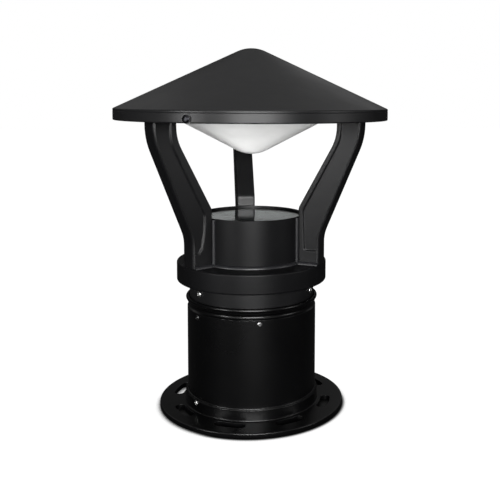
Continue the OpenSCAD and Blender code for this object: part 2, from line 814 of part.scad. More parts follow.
// Spun roof: a cone with a round tip, a seam line and a plain rim,
// slotted from below so that it lifts off its loosened screws
module roof() {
    steps = 8;
    tip_mid = roof_point - roof_tip_r / cos(roof_angle);
    tip = [for (i = [steps:-1:0]) let (a = roof_angle * i / steps)
        [roof_tip_r * sin(a), tip_mid + roof_tip_r * cos(a)]];
    tip_in = [for (i = [0:steps]) let (a = roof_angle * i / steps)
        [(roof_tip_r - roof_t) * sin(a), tip_mid + (roof_tip_r - roof_t) * cos(a)]];
    rim_in = roof_r - roof_t;
    slot_half = rim_screw_r + 0.7;
    color(black_coat) difference() {
        rotate_extrude() polygon(concat(
            tip_in,
            [[rim_in, roof_point - roof_drop - rim_in * roof_slope], [rim_in, rim_bottom]],
            [[roof_r - 0.3, rim_bottom], [roof_r, rim_bottom + 0.3]],
            [[roof_r, rim_top - 1], [roof_r - seam_depth, rim_top - 0.5], [roof_r, rim_top]],
            tip
        ));
        for (a = slotted_angles) {
            radial(a, rim_screw_z, slot_half, rim_in - 3, roof_r + 2);
            rotate([0, 0, a]) translate([rim_in - 3, -slot_half, rim_bottom - 1])
                cube([roof_t + 5, 2 * slot_half, rim_screw_z - rim_bottom + 1]);
        }
    }
}

base_flange();
hub_ring();
post_tube();
weld_ring();
tube_screws();
earth_screw();
earth_nut();
sleeve();
sleeve_screws();
tray_gasket();
gland_tray();
tray_screws();
cable_gland();
gland_nut();
terminal_block();
supply_leads();
driver();
driver_screws();
led_leads();
lead_grommet();
collar();
arm_screws();
rear_arm();
left_arm();
right_arm();
seam_beads();
lamp_cup();
cup_screws();
thermal_pad();
led_board();
led_chips();
led_holder();
board_screws();
reflector_cup();
lens_gasket();
lens();
roof_ring();
ring_screws();
reflector_cone();
cone_screws();
roof_washers();
roof_screws();
roof();
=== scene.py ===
"""Looks of the post cap light: turned and cut pieces, finishes, studio and camera."""

import math

import bpy
from mathutils import Matrix, Vector


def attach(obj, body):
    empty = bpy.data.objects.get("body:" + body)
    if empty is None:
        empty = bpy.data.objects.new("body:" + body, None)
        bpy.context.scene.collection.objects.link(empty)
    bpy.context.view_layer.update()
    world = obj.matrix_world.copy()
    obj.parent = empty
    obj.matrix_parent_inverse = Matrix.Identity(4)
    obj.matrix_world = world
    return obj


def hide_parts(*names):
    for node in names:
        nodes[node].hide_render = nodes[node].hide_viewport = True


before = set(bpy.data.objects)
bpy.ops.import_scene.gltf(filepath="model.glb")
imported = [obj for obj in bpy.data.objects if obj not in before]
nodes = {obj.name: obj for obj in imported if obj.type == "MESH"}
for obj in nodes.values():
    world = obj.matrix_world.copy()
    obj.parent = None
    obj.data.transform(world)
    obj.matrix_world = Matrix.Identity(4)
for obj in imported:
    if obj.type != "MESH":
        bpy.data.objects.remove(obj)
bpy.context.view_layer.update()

MM = 0.001
ROUND = 144

# Angles about Z in degrees
ARM_ANGLES = (90, 210, 330)
SLOTTED_ANGLES = (0, 120, 240)
TUBE_SCREW_ANGLES = (30, 90, 210, 270)
ANCHOR_ANGLES = [22.5 + 45 * i for i in range(8)]

# Heights and radii in millimetres, the same as the solids have
TUBE_R, TUBE_IN, TUBE_TOP = 60.0, 58.2, 104.5
CRIMP_R, CRIMP_Z, TUBE_SCREW_Z = 56.6, 96.9, 90.7
FLANGE_R, FLANGE_T, FLANGE_BORE, FLANGE_ROUND = 86.0, 4.5, 52.0, 0.9
ANCHOR_NEAR, ANCHOR_FAR, ANCHOR_SPAN = 65.5, 74.5, 16
HUB_R, HUB_TOP, HUB_FILLET, EARTH_Z = 61.9, 15.0, 0.9, 12.4
COLLAR_R, COLLAR_LOW, COLLAR_TOP, COLLAR_ROUND = 69.5, 118.85, 136.8, 1.5
SLEEVE_R, SLEEVE_SCREW_Z = 57.9, 111.5
CUP_R, CUP_TOP, CUP_IN, CUP_FLOOR = 48.5, 179.5, 45.0, 139.8
LEDGE_Z, GLASS_LOW, GLASS_TOP = 171.7, 173.7, 177.7
ROOF_R, RIM_LOW, RIM_TOP, ROOF_SLOPE = 125.0, 266.8, 277.0, 0.465
RIM_SCREW_Z, RIM_SLOT_R = 270.2, 2.7
NOSE_R = 31.0

# An arm's outline and its recess
ARM_W, ARM_TOP = 17.6, 272.0
TOP_OUT, TOP_IN, FOOT_OUT, FOOT_IN = 106.9, 84.8, 69.3, 49.5
BEND_TOP, BEND_LOW, IN_TOP, IN_LOW = 251.7, 163.1, 251.8, 188.4
RECESS_DEPTH, RECESS_LEAN, RECESS_LOW, RECESS_HIGH = 1.5, 1.0, 150.1, 266.0
OUTER_RIB = 2.3


# ---------------------------------------------------------------- workshop

def only(piece):
    """Selects one piece and makes it the active one."""
    bpy.ops.object.select_all(action="DESELECT")
    piece.select_set(True)
    bpy.context.view_layer.objects.active = piece


def named(piece, name):
    """Gives a piece and its mesh one name."""
    piece.name = name
    piece.data.name = name
    return piece


def discard(piece):
    """Removes a cutter or a model that has been used."""
    bpy.data.objects.remove(piece, do_unlink=True)


def chain(points):
    """A new mesh in edit mode: one edge chain through points, all selected."""
    bpy.ops.object.select_all(action="DESELECT")
    bpy.ops.mesh.primitive_plane_add(size=MM, location=(0, 0, 0))
    piece = bpy.context.object
    bpy.ops.object.mode_set(mode="EDIT")
    bpy.ops.mesh.select_all(action="SELECT")
    bpy.ops.mesh.merge(type="CENTER")
    here = Vector(points[0])
    bpy.ops.transform.translate(value=here)
    for point in points[1:]:
        step = Vector(point) - here
        bpy.ops.mesh.extrude_region_move(TRANSFORM_OT_translate={"value": step})
        here = Vector(point)
    bpy.ops.mesh.select_all(action="SELECT")
    return piece


def tidy_mesh(piece, smooth=35):
    """Merges doubles, points the faces outwards and smooths below an angle."""
    only(piece)
    bpy.ops.object.mode_set(mode="EDIT")
    bpy.ops.mesh.select_all(action="SELECT")
    bpy.ops.mesh.remove_doubles(threshold=0.002 * MM)
    bpy.ops.mesh.dissolve_degenerate(threshold=0.001 * MM)
    bpy.ops.mesh.normals_make_consistent(inside=False)
    bpy.ops.object.mode_set(mode="OBJECT")
    bpy.ops.object.shade_smooth_by_angle(angle=math.radians(smooth))
    return piece


def turned(name, profile, steps=ROUND, smooth=35):
    """Turns a profile of (radius, height) in millimetres about Z."""
    piece = chain([(r * MM, 0, z * MM) for r, z in profile])
    bpy.ops.mesh.spin(steps=steps, angle=math.tau, center=(0, 0, 0), axis=(0, 0, 1))
    bpy.ops.object.mode_set(mode="OBJECT")
    return tidy_mesh(named(piece, name), smooth)


def slab(name, outline, half):
    """A plate with an outline of (radius, height), from -half to half along Y."""
    piece = chain([(r * MM, -half * MM, z * MM) for r, z in outline])
    bpy.ops.mesh.edge_face_add()
    bpy.ops.mesh.select_all(action="SELECT")
    bpy.ops.mesh.extrude_region_move(
        TRANSFORM_OT_translate={"value": (0, 2 * half * MM, 0)})
    bpy.ops.object.mode_set(mode="OBJECT")
    return tidy_mesh(named(piece, name))


def settle(piece):
    """Puts the piece's place into its mesh."""
    only(piece)
    bpy.ops.object.transform_apply(location=True, rotation=True, scale=True)
    return piece


def rod(vertices, radius, length, place, rotation=(0, 0, 0)):
    """A cylinder in millimetres, to cut with."""
    bpy.ops.object.select_all(action="DESELECT")
    bpy.ops.mesh.primitive_cylinder_add(
        vertices=vertices, radius=radius * MM, depth=length * MM,
        location=[value * MM for value in place], rotation=rotation)
    return settle(bpy.context.object)


def apply_all(piece):
    """Applies the piece's modifiers."""
    only(piece)
    for modifier in list(piece.modifiers):
        bpy.ops.object.modifier_apply(modifier=modifier.name)


def cut(piece, cutter):
    """Takes the cutter's shape out of the piece."""
    tool = piece.modifiers.new("cut", "BOOLEAN")
    tool.object = cutter
    tool.operation = "DIFFERENCE"
    tool.solver = "EXACT"
    apply_all(piece)
    discard(cutter)


def bevelled(piece, width, angle, smooth=40):
    """Rounds every edge sharper than an angle."""
    tool = piece.modifiers.new("bevel", "BEVEL")
    tool.width = width * MM
    tool.segments = 2
    tool.limit_method = "ANGLE"
    tool.angle_limit = math.radians(angle)
    tool.miter_outer = "MITER_ARC"
    tool.use_clamp_overlap = True
    apply_all(piece)
    return tidy_mesh(piece, smooth)


def turned_copy(piece, name, degrees):
    """A copy with its own mesh, turned about Z."""
    twin = piece.copy()
    twin.data = piece.data.copy()
    bpy.context.collection.objects.link(twin)
    twin.rotation_euler = (0, 0, math.radians(degrees))
    return settle(named(twin, name))


def joined(pieces, name):
    """Makes one piece of several."""
    bpy.ops.object.select_all(action="DESELECT")
    for piece in pieces:
        piece.select_set(True)
    bpy.context.view_layer.objects.active = pieces[0]
    bpy.ops.object.join()
    return named(bpy.context.object, name)


def arc(middle, radius, first, last, count):
    """Points of an arc in a profile, angles in degrees."""
    share = [first + (last - first) * i / count for i in range(count + 1)]
    return [(middle[0] + radius * math.cos(math.radians(a)),
             middle[1] + radius * math.sin(math.radians(a))) for a in share]


def corner(before, at, after, radius, count=6):
    """Points that round an outline's corner."""
    at = Vector(at)
    one = (Vector(before) - at).normalized()
    two = (Vector(after) - at).normalized()
    half = one.angle(two) / 2
    middle = at + (one + two).normalized() * radius / math.sin(half)
    start = at + one * radius / math.tan(half) - middle
    stop = at + two * radius / math.tan(half) - middle
    sweep = start.angle_signed(stop)
    return [tuple(middle + Matrix.Rotation(-sweep * i / count, 2) @ start)
            for i in range(count + 1)]


def nose(radius, middle, lean, side):
    """Points of a cone's rounded tip, from the axis outwards; side is 1 when the tip
    points up and -1 when it points down."""
    steps = 10
    return [(radius * math.sin(lean * i / steps),
             middle + side * radius * math.cos(lean * i / steps))
            for i in range(steps + 1)]


def closed(points):
    """The points with the first one again at the end."""
    return [*points, points[0]]


# ---------------------------------------------------------------- finishes

class NodeNet:
    """A node tree and short calls that add nodes to it."""

    def __init__(self, tree):
        self.tree = tree

    def add(self, kind, **values):
        node = self.tree.nodes.new(kind)
        for key, value in values.items():
            setattr(node, key, value)
        return node

    def link(self, out, into):
        self.tree.links.new(out, into)

    def feed(self, value, socket):
        """Gives a socket a number, a colour or another socket's value."""
        if isinstance(value, tuple):
            socket.default_value = (*value, 1)
        elif isinstance(value, float):
            socket.default_value = value
        else:
            self.link(value, socket)

    def calc(self, operation, one, two):
        """One calculation on two values, each a number or a socket."""
        node = self.add("ShaderNodeMath", operation=operation)
        self.feed(one, node.inputs[0])
        self.feed(two, node.inputs[1])
        return node.outputs["Value"]

    def spread(self, value, low, high, start=0.3, stop=0.7, **values):
        """Maps the range from start to stop to low and high."""
        node = self.add("ShaderNodeMapRange", **values)
        self.link(value, node.inputs["Value"])
        for key, number in (("From Min", start), ("From Max", stop),
                            ("To Min", low), ("To Max", high)):
            node.inputs[key].default_value = number
        return node.outputs["Result"]

    def blend(self, factor, one, two):
        """Blends two shaders."""
        node = self.add("ShaderNodeMixShader")
        self.link(factor, node.inputs["Fac"])
        self.link(one, node.inputs[1])
        self.link(two, node.inputs[2])
        return node.outputs["Shader"]


class Finish(NodeNet):
    """A material with its nodes."""

    def __init__(self, name):
        self.mat = bpy.data.materials.new(name)
        self.mat.use_nodes = True
        super().__init__(self.mat.node_tree)
        self.shader = self.tree.nodes["Principled BSDF"]
        self.place = self.add("ShaderNodeTexCoord").outputs["Object"]

    def set(self, **values):
        """Sets constants on the shader."""
        for key, value in values.items():
            self.shader.inputs[key.replace("_", " ")].default_value = value

    def wear(self, colour=None, rough=None, normal=None):
        """Links sockets to the shader's colour, roughness and normal."""
        for key, out in (("Base Color", colour), ("Roughness", rough), ("Normal", normal)):
            if out:
                self.link(out, self.shader.inputs[key])

    def noise(self, scale, detail=3, rough=0.5, stretch=None):
        """Noise whose scale counts waves in a metre."""
        node = self.add("ShaderNodeTexNoise")
        node.inputs["Scale"].default_value = scale
        node.inputs["Detail"].default_value = detail
        node.inputs["Roughness"].default_value = rough
        source = self.place
        if stretch:
            mapping = self.add("ShaderNodeMapping")
            mapping.inputs["Scale"].default_value = stretch
            self.link(source, mapping.inputs["Vector"])
            source = mapping.outputs["Vector"]
        self.link(source, node.inputs["Vector"])
        return node.outputs["Fac"]

    def mix(self, factor, one, two):
        """Mixes two values, each a colour or a socket."""
        node = self.add("ShaderNodeMix", data_type="RGBA")
        self.link(factor, node.inputs["Factor"])
        self.feed(one, node.inputs["A"])
        self.feed(two, node.inputs["B"])
        return node.outputs["Result"]

    def bump(self, height, strength, distance, under=None):
        """Normals bent by a height, on top of the normals under it."""
        node = self.add("ShaderNodeBump")
        node.inputs["Strength"].default_value = strength
        node.inputs["Distance"].default_value = distance
        self.link(height, node.inputs["Height"])
        if under:
            self.link(under, node.inputs["Normal"])
        return node.outputs["Normal"]

    def round_edges(self, radius):
        """Normals that look rounded at the edges."""
        node = self.add("ShaderNodeBevel", samples=4)
        node.inputs["Radius"].default_value = radius
        return node.outputs["Normal"]

    def edge_mask(self, rounded):
        """1 on the edges, where the rounded normals leave the plain ones."""
        dot = self.add("ShaderNodeVectorMath", operation="DOT_PRODUCT")
        self.link(rounded, dot.inputs[0])
        self.link(self.add("ShaderNodeNewGeometry").outputs["Normal"], dot.inputs[1])
        return self.spread(dot.outputs["Value"], 1, 0, start=0.86, stop=0.99)


def scaled(colour, factor):
    """A lighter or darker colour, never past white."""
    return tuple(min(1, c * factor) for c in colour)


def coating(name, colour, rough, specular, peel=0.12, worn=0.5, soft=0.5, uneven=0.025):
    """A sprayed coat: orange peel, faint patches, and edges rubbed a little lighter."""
    f = Finish(name)
    patches = f.noise(14, detail=4)
    rounded = f.round_edges(soft * MM)
    body = f.mix(f.spread(patches, 0, 1), scaled(colour, 0.82), scaled(colour, 1.22))
    rub = f.spread(f.noise(120), 0, worn, start=0.42, stop=0.66)
    rubbed = f.calc("MULTIPLY", f.edge_mask(rounded), rub)
    tint = tuple(min(1, c * 2.2 + 0.01) for c in colour)
    fine = f.bump(f.noise(900, detail=2), peel, 0.12 * MM, rounded)
    f.wear(f.mix(rubbed, body, tint), f.spread(patches, rough - uneven, rough + uneven),
           f.bump(f.noise(160, detail=2), peel, 0.2 * MM, fine))
    f.set(Specular_IOR_Level=specular)
    return f.mat


def steel(name, colour, rough):
    """Turned steel: fine lines and a few smears."""
    f = Finish(name)
    lines = f.noise(1500, detail=2, rough=0.6, stretch=(1, 1, 0.2))
    smears = f.noise(220, detail=4)
    f.wear(f.mix(f.spread(lines, 0, 1), scaled(colour, 0.8), colour),
           f.spread(smears, rough - 0.08, rough + 0.12), f.bump(lines, 0.1, 0.05 * MM))
    f.set(Metallic=1.0)
    return f.mat


def moulded(name, colour, rough, grain=700, depth=0.15):
    """Moulded plastic or rubber with a fine grain."""
    f = Finish(name)
    f.wear(f.mix(f.spread(f.noise(60), 0, 1), scaled(colour, 0.85), colour),
           f.spread(f.noise(90), rough - 0.06, rough + 0.06),
           f.bump(f.noise(grain, detail=2), depth, 0.1 * MM, f.round_edges(0.3 * MM)))
    return f.mat


def plated(name, colour, rough):
    """Zinc plate with its crystal spangle."""
    f = Finish(name)
    spangle = f.add("ShaderNodeTexVoronoi")
    spangle.inputs["Scale"].default_value = 260
    f.link(f.place, spangle.inputs["Vector"])
    f.wear(f.mix(spangle.outputs["Color"], scaled(colour, 0.7), colour),
           f.spread(f.noise(80), rough - 0.08, rough + 0.1),
           f.bump(f.noise(500, detail=2), 0.08, 0.05 * MM))
    f.set(Metallic=1.0)
    return f.mat


def clear_glass(name):
    """Toughened glass with faint smears on it."""
    f = Finish(name)
    tints = f.spread(f.noise(9, detail=2), 0, 1)
    f.wear(f.mix(tints, (0.80, 0.86, 0.85), (0.88, 0.91, 0.90)),
           f.spread(f.noise(30, detail=5), 0.02, 0.09, start=0.4, stop=0.75),
           f.bump(f.noise(40, detail=2), 0.01, 0.05 * MM))
    f.set(Transmission_Weight=1.0, IOR=1.5, Specular_IOR_Level=0.3)
    return f.mat


black_coat = coating("satin_black_coat", (0.0034, 0.0034, 0.0037),
                     rough=0.42, specular=0.26, uneven=0.08)
# A darker, less glossy copy of the satin black coat for the collar and cup: painted shade for
# the shade of the roof and arms over them
painted_shade_housing_coat = coating("satin_black_painted_shade_housing_coat", (0.0022, 0.0022, 0.0025),
                       rough=0.42, specular=0.14)
# The arms' coarser cast coat, its colour darker than the satin black coat's as painted shade on
# the arms' feet
painted_shade_cast_coat = coating("satin_black_painted_shade_cast_coat", (0.0024, 0.0024, 0.0027),
                    rough=0.36, specular=0.24, peel=0.2, soft=1.4)
bead_coat = coating("gloss_black_bead_coat", (0.008, 0.008, 0.009),
                    rough=0.36, specular=0.28, peel=0.06, soft=0.2)
tube_coat = coating("gloss_black_tube_coat", (0.0006, 0.0006, 0.0007),
                    rough=0.29, specular=0.30, peel=0.05)
baffle_coat = coating("black_baffle_coat", (0.006, 0.006, 0.0065),
                      rough=0.5, specular=0.12)
white_coat = coating("satin_white_coat", (0.82, 0.82, 0.81),
                     rough=0.5, specular=0.4, peel=0.06, worn=0.1)
bright_steel = steel("bright_screw_steel", (0.62, 0.62, 0.61), rough=0.28)
# A darker copy of the bright screw steel, for the tube screws
darkened_steel = steel("darkened_screw_steel", (0.14, 0.14, 0.14), rough=0.32)
dark_steel = steel("dark_screw_steel", (0.016, 0.016, 0.018), rough=0.3)
brass = steel("nut_brass", (0.62, 0.44, 0.18), rough=0.3)
zinc = plated("zinc_plate", (0.55, 0.56, 0.58), rough=0.36)
black_rubber = moulded("black_rubber", (0.018, 0.018, 0.019), rough=0.7, grain=500, depth=0.3)
pad_grey = moulded("grey_pad", (0.30, 0.33, 0.37), rough=0.75)
black_nylon = moulded("black_nylon", (0.02, 0.02, 0.022), rough=0.55)
white_nylon = moulded("white_nylon", (0.74, 0.73, 0.69), rough=0.5)
case_grey = moulded("driver_case_grey", (0.48, 0.49, 0.50), rough=0.5)
brown_jacket = moulded("lead_jacket", (0.22, 0.05, 0.03), rough=0.4)
board_mask = moulded("white_board_mask", (0.78, 0.78, 0.75), rough=0.35, grain=300, depth=0.05)
phosphor = moulded("chip_phosphor", (0.80, 0.62, 0.12), rough=0.3)
glass = clear_glass("clear_glass")


def dress(piece, material):
    """Gives a piece its only material."""
    piece.data.materials.clear()
    piece.data.materials.append(material)


def even_normals(piece):
    """Lets the wide faces set the shading, so that flat parts stay flat."""
    tool = piece.modifiers.new("even_normals", "WEIGHTED_NORMAL")
    tool.keep_sharp = True
    tool.weight = 100
    apply_all(piece)


def fit_piece(piece, body, material, slot_name, *stands_for):
    """Gives a finished piece its material and body, and hides the nodes it stands for; slot_name
    is not used.
    """
    dress(piece, material)
    even_normals(piece)
    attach(piece, body)
    if stands_for:
        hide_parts(*stands_for)


# Nodes of the CAD model that show as they are, in a finish of the scene
NODE_FINISHES = {
    "earth_nut": brass, "tray_gasket": black_rubber, "gland_tray": zinc,
    "tray_screws": bright_steel, "cable_gland": black_nylon, "gland_nut": black_nylon,
    "terminal_block": white_nylon, "supply_leads": brown_jacket, "driver": case_grey,
    "driver_screws": bright_steel, "led_leads": brown_jacket, "lead_grommet": black_rubber,
    "arm_screws": bright_steel, "cup_screws": bright_steel, "thermal_pad": pad_grey,
    "led_board": board_mask, "led_chips": phosphor, "led_holder": white_nylon,
    "board_screws": bright_steel, "lens_gasket": black_rubber,
    "ring_screws": bright_steel, "cone_screws": bright_steel, "roof_ring": black_coat,
    "reflector_cup": baffle_coat, "seam_beads": bead_coat, "weld_ring": tube_coat,
    "roof_washers": black_rubber,
}
for node_name, finish in NODE_FINISHES.items():
    for place in nodes[node_name].material_slots:
        place.material = finish


# ---------------------------------------------------------------- base

def make_anchor_slot():
    """A cutter for a curved slot without its round ends, swept from angle 0 to its span."""
    low, high = -1, 6
    outline = [(ANCHOR_NEAR, low), (ANCHOR_FAR, low), (ANCHOR_FAR, high), (ANCHOR_NEAR, high)]
    cutter = chain([(r * MM, 0, z * MM) for r, z in closed(outline)])
    bpy.ops.mesh.edge_face_add()
    bpy.ops.mesh.spin(steps=10, angle=-math.radians(ANCHOR_SPAN), center=(0, 0, 0),
                      axis=(0, 0, 1))
    bpy.ops.object.mode_set(mode="OBJECT")
    return cutter


def make_flange():
    """The flange and the hub ring on it, with the curved anchor slots."""
    edge, chamfer, seat = FLANGE_R - FLANGE_ROUND, 0.4, TUBE_R + 0.05
    profile = [
        (FLANGE_BORE, chamfer), (FLANGE_BORE + chamfer, 0),
        *arc((edge, FLANGE_ROUND), FLANGE_ROUND, -90, 0, 4),
        *arc((edge, FLANGE_T - FLANGE_ROUND), FLANGE_ROUND, 0, 90, 4),
        (HUB_R + HUB_FILLET, FLANGE_T),
        *arc((HUB_R + HUB_FILLET, FLANGE_T + HUB_FILLET), HUB_FILLET, 270, 180, 5),
        (HUB_R, HUB_TOP - 0.7), (HUB_R - 0.7, HUB_TOP), (seat, HUB_TOP), (seat, FLANGE_T),
        (FLANGE_BORE + chamfer, FLANGE_T), (FLANGE_BORE, FLANGE_T - chamfer),
    ]
    flange = turned("base_flange_plate", closed(profile))
    middle_r = (ANCHOR_NEAR + ANCHOR_FAR) / 2
    for middle in ANCHOR_ANGLES:
        cutter = make_anchor_slot()
        cutter.rotation_euler = (0, 0, math.radians(middle - ANCHOR_SPAN / 2))
        tidy_mesh(settle(cutter))
        cut(flange, cutter)
        for end in (-ANCHOR_SPAN / 2, ANCHOR_SPAN / 2):
            a = math.radians(middle + end)
            place = (middle_r * math.cos(a), middle_r * math.sin(a), 2)
            cut(flange, rod(32, (ANCHOR_FAR - ANCHOR_NEAR) / 2, 8, place))
    tidy_mesh(flange)
    return bevelled(flange, 0.35, angle=50)


def make_tube():
    """The post tube with its rolled lip, and the crimp below it that the sleeve rests on."""
    profile = [
        (TUBE_IN, FLANGE_T), (TUBE_R, FLANGE_T), (TUBE_R, 94.2),
        *arc((TUBE_R - 0.1, CRIMP_Z), 2.2, 115, 245, 8)[::-1],
        (TUBE_R, 99.6), (TUBE_R, 100.4),
        *arc((59.4, TUBE_TOP - 1.9), 1.9, -62, 100, 12),
        (TUBE_IN, TUBE_TOP - 1.2), (TUBE_IN, 101.0), (CRIMP_R, 98.8), (CRIMP_R, 95.8),
        (TUBE_IN, 93.6),
    ]
    return turned("post_tube_shell", closed(profile), smooth=50)


fit_piece(make_flange(), "base", tube_coat, "tube_paint", "base_flange", "hub_ring")
fit_piece(make_tube(), "base", tube_coat, "tube_paint", "post_tube")


# ---------------------------------------------------------------- collar, sleeve, cup

def make_collar():
    """The collar: a disc with a rounded rim and a skirt that plugs into the sleeve."""
    edge = COLLAR_R - COLLAR_ROUND
    profile = [
        (0, 126.8), (51.85, 126.8), (51.85, 106.5), (55.05, 106.5), (55.05, COLLAR_LOW),
        *arc((edge, COLLAR_LOW + COLLAR_ROUND), COLLAR_ROUND, -90, 0, 5),
        *arc((edge, COLLAR_TOP - COLLAR_ROUND), COLLAR_ROUND, 0, 90, 5), (0, COLLAR_TOP),
    ]
    return turned("collar_ring", profile)


def make_sleeve():
    """The stepped sleeve, with the ledge inside its foot that carries the closing plate."""
    profile = [
        (46, 70), (54.8, 70), (55.8, 71), (55.8, 99.81), (57.3, 99.81), (SLEEVE_R, 100.64),
        (SLEEVE_R, 118.4), (SLEEVE_R - 0.4, 118.8), (55.1, 118.8), (55.1, 102.8),
        (53.0, 101.3), (53.0, 73), (46, 73),
    ]
    return turned("sleeve_shell", closed(profile))


def make_cup():
    """The lamp cup, with the seat for the glass in its mouth."""
    profile = [
        (0, COLLAR_TOP), (CUP_R, COLLAR_TOP),
        *arc((CUP_R - 0.5, CUP_TOP - 0.5), 0.5, 0, 90, 4),
        (46.9, CUP_TOP), (46.9, LEDGE_Z), (CUP_IN, LEDGE_Z), (CUP_IN, CUP_FLOOR), (0, CUP_FLOOR),
    ]
    return turned("lamp_cup_wall", profile)


def make_lens():
    """The glass: a chamfered disc with a rounded upper edge."""
    profile = [(0, GLASS_LOW), (45.8, GLASS_LOW), (46.3, GLASS_LOW + 0.5),
               *arc((45.7, GLASS_TOP - 0.6), 0.6, 0, 90, 4), (0, GLASS_TOP)]
    return turned("glass_disc", profile)


# The collar and the cup take the darker copy of the satin black coat, as painted shade
fit_piece(make_collar(), "head", painted_shade_housing_coat, "satin_black_paint", "collar")
fit_piece(make_sleeve(), "head", black_coat, "satin_black_paint", "sleeve")
fit_piece(make_cup(), "head", painted_shade_housing_coat, "satin_black_paint", "lamp_cup")
fit_piece(make_lens(), "head", glass, "clear_glass", "lens")


# ---------------------------------------------------------------- arms

def arm_outline():
    """An arm from the side: upright top, slanting middle and upright foot."""
    return [
        (TOP_IN, ARM_TOP), (TOP_OUT, ARM_TOP),
        *corner((TOP_OUT, ARM_TOP), (TOP_OUT, BEND_TOP), (FOOT_OUT, BEND_LOW), 60),
        *corner((TOP_OUT, BEND_TOP), (FOOT_OUT, BEND_LOW), (FOOT_OUT, COLLAR_TOP), 34),
        (FOOT_OUT, COLLAR_TOP), (FOOT_IN, COLLAR_TOP),
        *corner((FOOT_IN, COLLAR_TOP), (FOOT_IN, IN_LOW), (TOP_IN, IN_TOP), 8, 4),
        *corner((FOOT_IN, IN_LOW), (TOP_IN, IN_TOP), (TOP_IN, ARM_TOP), 40),
    ]


def recess_outline(wide, rib_cut):
    """The recess in an arm's side; wide is 1 on the side with the broader inner rib,
    and rib_cut takes that much off the rib, where the recess's mouth is."""
    in_top = TOP_IN + 4.5 + 1.8 * wide - rib_cut
    in_foot = FOOT_IN + 5.0 + 3.0 * wide - rib_cut
    out_top, out_foot = TOP_OUT - OUTER_RIB, FOOT_OUT - OUTER_RIB
    in_bend, in_low = IN_TOP - 1 - 2.5 * wide, IN_LOW - 2 - 2 * wide
    low, high, curl = RECESS_LOW - rib_cut / 2, RECESS_HIGH, 2.5 + 4 * wide
    return [
        (in_top, high), (out_top, high),
        *corner((out_top, high), (out_top, BEND_TOP), (out_foot, BEND_LOW), 58),
        *corner((out_top, BEND_TOP), (out_foot, BEND_LOW), (out_foot, low), 32),
        (out_foot, low), (in_foot + curl, low), (in_foot + curl * 0.5, low + curl * 0.7),
        (in_foot + 0.5, low + 20),
        *corner((in_foot + 0.5, low + 20), (in_foot, in_low), (in_top, in_bend), 8, 4),
        *corner((in_foot, in_low), (in_top, in_bend), (in_top, high), 36),
    ]


def round_long_edges(arm, towards, width, segments):
    """Rounds the edges between an arm's flat sides and its outer or inner skin."""
    sides, skin = set(), set()
    for face in arm.data.polygons:
        if abs(face.normal.y) > 0.9:
            sides.update(face.edge_keys)
        elif face.normal.x * towards > 0.3:
            skin.update(face.edge_keys)
    only(arm)
    bpy.ops.object.mode_set(mode="EDIT")
    bpy.ops.mesh.select_mode(type="EDGE")
    bpy.ops.mesh.select_all(action="DESELECT")
    bpy.ops.object.mode_set(mode="OBJECT")
    for edge in arm.data.edges:
        edge.select = edge.key in sides & skin
    bpy.ops.object.mode_set(mode="EDIT")
    bpy.ops.mesh.bevel(offset=width * MM, segments=segments, affect="EDGES")
    bpy.ops.mesh.select_mode(type="VERT")
    bpy.ops.object.mode_set(mode="OBJECT")


def make_recess(side):
    """A cutter whose inner wall leans: floor and mouth outlines, bridged."""
    wide = 1 if side > 0 else 0
    mouth = ARM_W / 2 + 0.02
    loops = []
    for y, rib_cut in ((ARM_W / 2 - RECESS_DEPTH, 0.0), (mouth, RECESS_LEAN)):
        loop = chain([(r * MM, side * y * MM, z * MM)
                      for r, z in closed(recess_outline(wide, rib_cut))])
        bpy.ops.mesh.remove_doubles(threshold=0.002 * MM)
        bpy.ops.object.mode_set(mode="OBJECT")
        loops.append(loop)
    cutter = joined(loops, "recess")
    bpy.ops.object.mode_set(mode="EDIT")
    bpy.ops.mesh.select_all(action="SELECT")
    bpy.ops.mesh.bridge_edge_loops()
    bpy.ops.mesh.select_all(action="SELECT")
    bpy.ops.mesh.fill_holes(sides=0)
    bpy.ops.object.mode_set(mode="OBJECT")
    return tidy_mesh(cutter)


def make_arm():
    """An arm that points along +X, recessed on both sides."""
    arm = slab("arm", closed(arm_outline()), ARM_W / 2)
    round_long_edges(arm, towards=1, width=2.5, segments=4)
    round_long_edges(arm, towards=-1, width=1.2, segments=3)
    for side in (-1, 1):
        cut(arm, make_recess(side))
    return bevelled(arm, 0.3, angle=45)


plain_arm = make_arm()
# The arms take the cast coat, whose darker colour is painted shade on their feet
for angle, node_name in zip(ARM_ANGLES, ("rear_arm", "left_arm", "right_arm")):
    arm = turned_copy(plain_arm, node_name + "_casting", angle)
    tidy_mesh(arm, 40)
    fit_piece(arm, "head", painted_shade_cast_coat, "satin_black_paint", node_name)
discard(plain_arm)


# ---------------------------------------------------------------- roof and cone

def cut_rim_slots(roof):
    """Cuts the rim's screw slots: a round hole, and a gap that opens it downwards."""
    length = 12
    hole = rod(40, RIM_SLOT_R, length, (ROOF_R, 0, RIM_SCREW_Z), (0, math.pi / 2, 0))
    bpy.ops.object.select_all(action="DESELECT")
    bpy.ops.mesh.primitive_cube_add(
        size=1, location=(ROOF_R * MM, 0, (RIM_SCREW_Z - length / 2) * MM))
    gap = bpy.context.object
    gap.scale = (length * MM, 2 * RIM_SLOT_R * MM, length * MM)
    settle(gap)
    for a in SLOTTED_ANGLES:
        for cutter in (hole, gap):
            cut(roof, turned_copy(cutter, "cutter", a))
    discard(hole)
    discard(gap)


